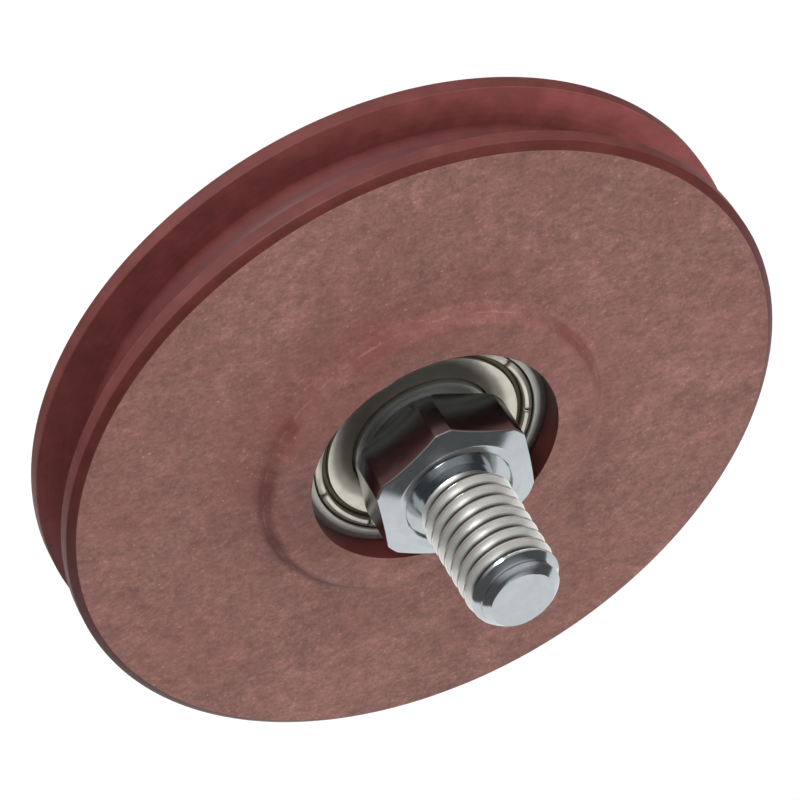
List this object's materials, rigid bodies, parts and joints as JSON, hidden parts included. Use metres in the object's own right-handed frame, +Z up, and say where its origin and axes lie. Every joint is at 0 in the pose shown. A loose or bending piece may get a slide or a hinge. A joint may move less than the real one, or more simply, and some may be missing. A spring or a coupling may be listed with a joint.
{
  "type": "rope pulley",
  "caption": "Grooved rope wheel on a shielded ball bearing, with a hexagon axle and a threaded stud that fastens it to a carrier plate.",
  "frame": {"origin": "the wheel's centre: on its axis, in the middle plane of the rope groove", "axes": "the wheel turns about Y; the threaded stud points along -Y; +Z is up as the picture shows it"},
  "size_m": [0.062, 0.0284, 0.062],
  "materials": {
    "phenolic_moulding": "matt, finely mottled",
    "zinc_plated_steel": "bright zinc, slightly blue",
    "bearing_steel": "ground",
    "shield_sheet": "pressed sheet, slightly cream",
    "cage_sheet": "pressed sheet",
    "ball_steel": "polished",
    "spring_steel": "phosphated, dark"
  },
  "bodies": {
    "axle": {"axle": "zinc_plated_steel", "bearing_inner_ring": "bearing_steel", "thrust_washer": "zinc_plated_steel", "retaining_ring": "spring_steel"},
    "wheel": {"pulley_wheel": "phenolic_moulding", "bearing_outer_ring": "bearing_steel", "front_shield": "shield_sheet", "rear_shield": "shield_sheet"},
    "cage": {"cage_front": "cage_sheet", "cage_rear": "cage_sheet", "cage_rivets": "cage_sheet"},
    "ball_1": {"ball_1": "ball_steel"},
    "ball_2": {"ball_2": "ball_steel"},
    "ball_3": {"ball_3": "ball_steel"},
    "ball_4": {"ball_4": "ball_steel"},
    "ball_5": {"ball_5": "ball_steel"},
    "ball_6": {"ball_6": "ball_steel"},
    "ball_7": {"ball_7": "ball_steel"}
  },
  "joints": [
    {"name": "wheel_spin", "type": "hinge", "parent": "axle", "child": "wheel", "pos_m": [0, 0, 0], "axis": [0, 1, 0], "continuous": true},
    {"name": "cage_spin", "type": "hinge", "parent": "axle", "child": "cage", "pos_m": [0, 0, 0], "axis": [0, 1, 0], "continuous": true},
    {"name": "ball_1_spin", "type": "hinge", "parent": "cage", "child": "ball_1", "pos_m": [0.0075, 0, 0], "axis": [0, 1, 0], "continuous": true},
    {"name": "ball_2_spin", "type": "hinge", "parent": "cage", "child": "ball_2", "pos_m": [0.00468, 0, 0.00586], "axis": [0, 1, 0], "continuous": true},
    {"name": "ball_3_spin", "type": "hinge", "parent": "cage", "child": "ball_3", "pos_m": [-0.00167, 0, 0.00731], "axis": [0, 1, 0], "continuous": true},
    {"name": "ball_4_spin", "type": "hinge", "parent": "cage", "child": "ball_4", "pos_m": [-0.00676, 0, 0.00325], "axis": [0, 1, 0], "continuous": true},
    {"name": "ball_5_spin", "type": "hinge", "parent": "cage", "child": "ball_5", "pos_m": [-0.00676, 0, -0.00325], "axis": [0, 1, 0], "continuous": true},
    {"name": "ball_6_spin", "type": "hinge", "parent": "cage", "child": "ball_6", "pos_m": [-0.00167, 0, -0.00731], "axis": [0, 1, 0], "continuous": true},
    {"name": "ball_7_spin", "type": "hinge", "parent": "cage", "child": "ball_7", "pos_m": [0.00468, 0, -0.00586], "axis": [0, 1, 0], "continuous": true}
  ],
  "couplings": [
    {"joint": "cage_spin", "follows": "wheel_spin", "ratio": 0.6323},
    {"joint": "ball_1_spin", "follows": "wheel_spin", "ratio": 1.7573},
    {"joint": "ball_2_spin", "follows": "wheel_spin", "ratio": 1.7573},
    {"joint": "ball_3_spin", "follows": "wheel_spin", "ratio": 1.7573},
    {"joint": "ball_4_spin", "follows": "wheel_spin", "ratio": 1.7573},
    {"joint": "ball_5_spin", "follows": "wheel_spin", "ratio": 1.7573},
    {"joint": "ball_6_spin", "follows": "wheel_spin", "ratio": 1.7573},
    {"joint": "ball_7_spin", "follows": "wheel_spin", "ratio": 1.7573}
  ]
}
